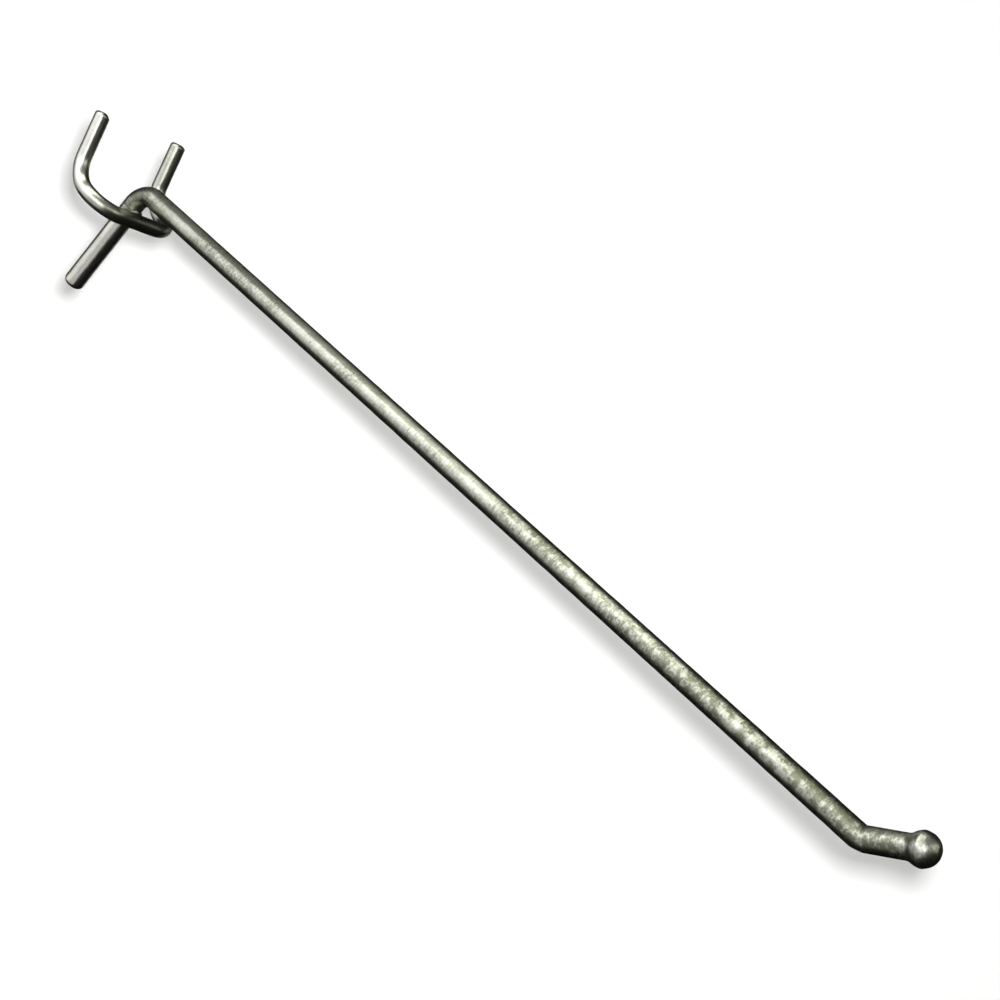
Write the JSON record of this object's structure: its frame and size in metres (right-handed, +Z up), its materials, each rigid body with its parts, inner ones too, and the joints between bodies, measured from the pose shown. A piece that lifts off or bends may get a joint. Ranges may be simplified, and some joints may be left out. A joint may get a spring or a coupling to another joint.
{
  "type": "pegboard hook",
  "caption": "Long straight steel-wire peg hook with an upturned ball tip, a leg that bears on the board and a welded wire crossbar whose prongs hook up behind perforated board.",
  "frame": {"origin": "on the board's front face, midway between the prongs and at the height of the holes they pass through", "axes": "+Z up along the board, +Y into the board, arm pointing out to -Y, X along the row of holes"},
  "size_m": [0.0292, 0.2619, 0.0825],
  "materials": {
    "rod_steel": "bright drawn steel wire with fine draw marks, dulled at the bends and mottled at the upset ball",
    "prong_steel": "smoother bright drawn steel wire, darkened by heat around the weld"
  },
  "bodies": {
    "root": {"hook_rod": "rod_steel", "prong_wire": "prong_steel"}
  },
  "joints": []
}
